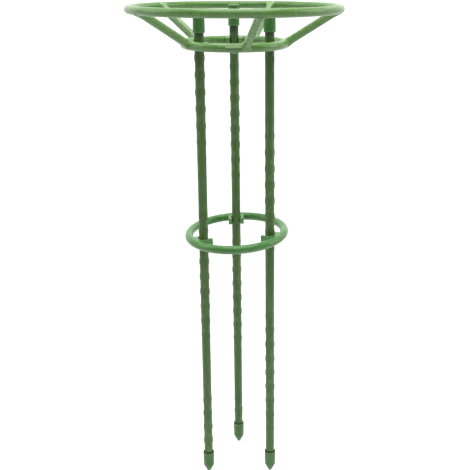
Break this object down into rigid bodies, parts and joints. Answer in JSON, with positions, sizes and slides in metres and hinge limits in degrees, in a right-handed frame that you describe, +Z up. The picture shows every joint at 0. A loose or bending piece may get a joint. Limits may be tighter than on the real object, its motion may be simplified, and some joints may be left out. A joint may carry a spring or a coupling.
{
  "type": "plant support cage",
  "caption": "Plant support cage: nubbed coated steel stakes hold a funnel-shaped ring basket on top and a sliding ring half way.",
  "frame": {"origin": "on the ground under the middle of the cage, at the height of the stakes' tips", "axes": "+Z up along the stakes; -Y towards the front, between the two front stakes; +X to the right seen from the front"},
  "size_m": [0.2565, 0.2565, 0.6072],
  "materials": {
    "basket_plastic": "satin moulded mid green",
    "ring_plastic": "satin moulded mid green",
    "stake_coating": "satin nubbed dark green coating",
    "cap_plastic": "soft moulded dark green",
    "point_plastic": "satin moulded green",
    "galvanised_steel": "galvanised tube, hidden by the coating"
  },
  "bodies": {
    "basket": {"basket_rim": "basket_plastic", "basket_base_ring": "basket_plastic", "basket_arm_right": "basket_plastic", "basket_arm_back_right": "basket_plastic", "basket_arm_back_left": "basket_plastic", "basket_arm_left": "basket_plastic", "basket_arm_front": "basket_plastic"},
    "mid_ring": {"mid_ring": "ring_plastic"},
    "stake_back": {"stake_back_steel_tube": "galvanised_steel", "stake_back_coating": "stake_coating", "stake_back_cap": "cap_plastic", "stake_back_point": "point_plastic"},
    "stake_left": {"stake_left_steel_tube": "galvanised_steel", "stake_left_coating": "stake_coating", "stake_left_cap": "cap_plastic", "stake_left_point": "point_plastic"},
    "stake_right": {"stake_right_steel_tube": "galvanised_steel", "stake_right_coating": "stake_coating", "stake_right_cap": "cap_plastic", "stake_right_point": "point_plastic"}
  },
  "joints": [
    {"name": "mid_ring_slide", "type": "slide", "parent": "basket", "child": "mid_ring", "axis": [0, 0, 1], "range_m": [-0.18, 0.215]},
    {"name": "stake_back_slide", "type": "slide", "parent": "basket", "child": "stake_back", "axis": [0, 0, 1], "range_m": [-0.0137, 0.1]},
    {"name": "stake_left_slide", "type": "slide", "parent": "basket", "child": "stake_left", "axis": [0, 0, 1], "range_m": [-0.0098, 0.1]},
    {"name": "stake_right_slide", "type": "slide", "parent": "basket", "child": "stake_right", "axis": [0, 0, 1], "range_m": [-0.0107, 0.1]}
  ]
}
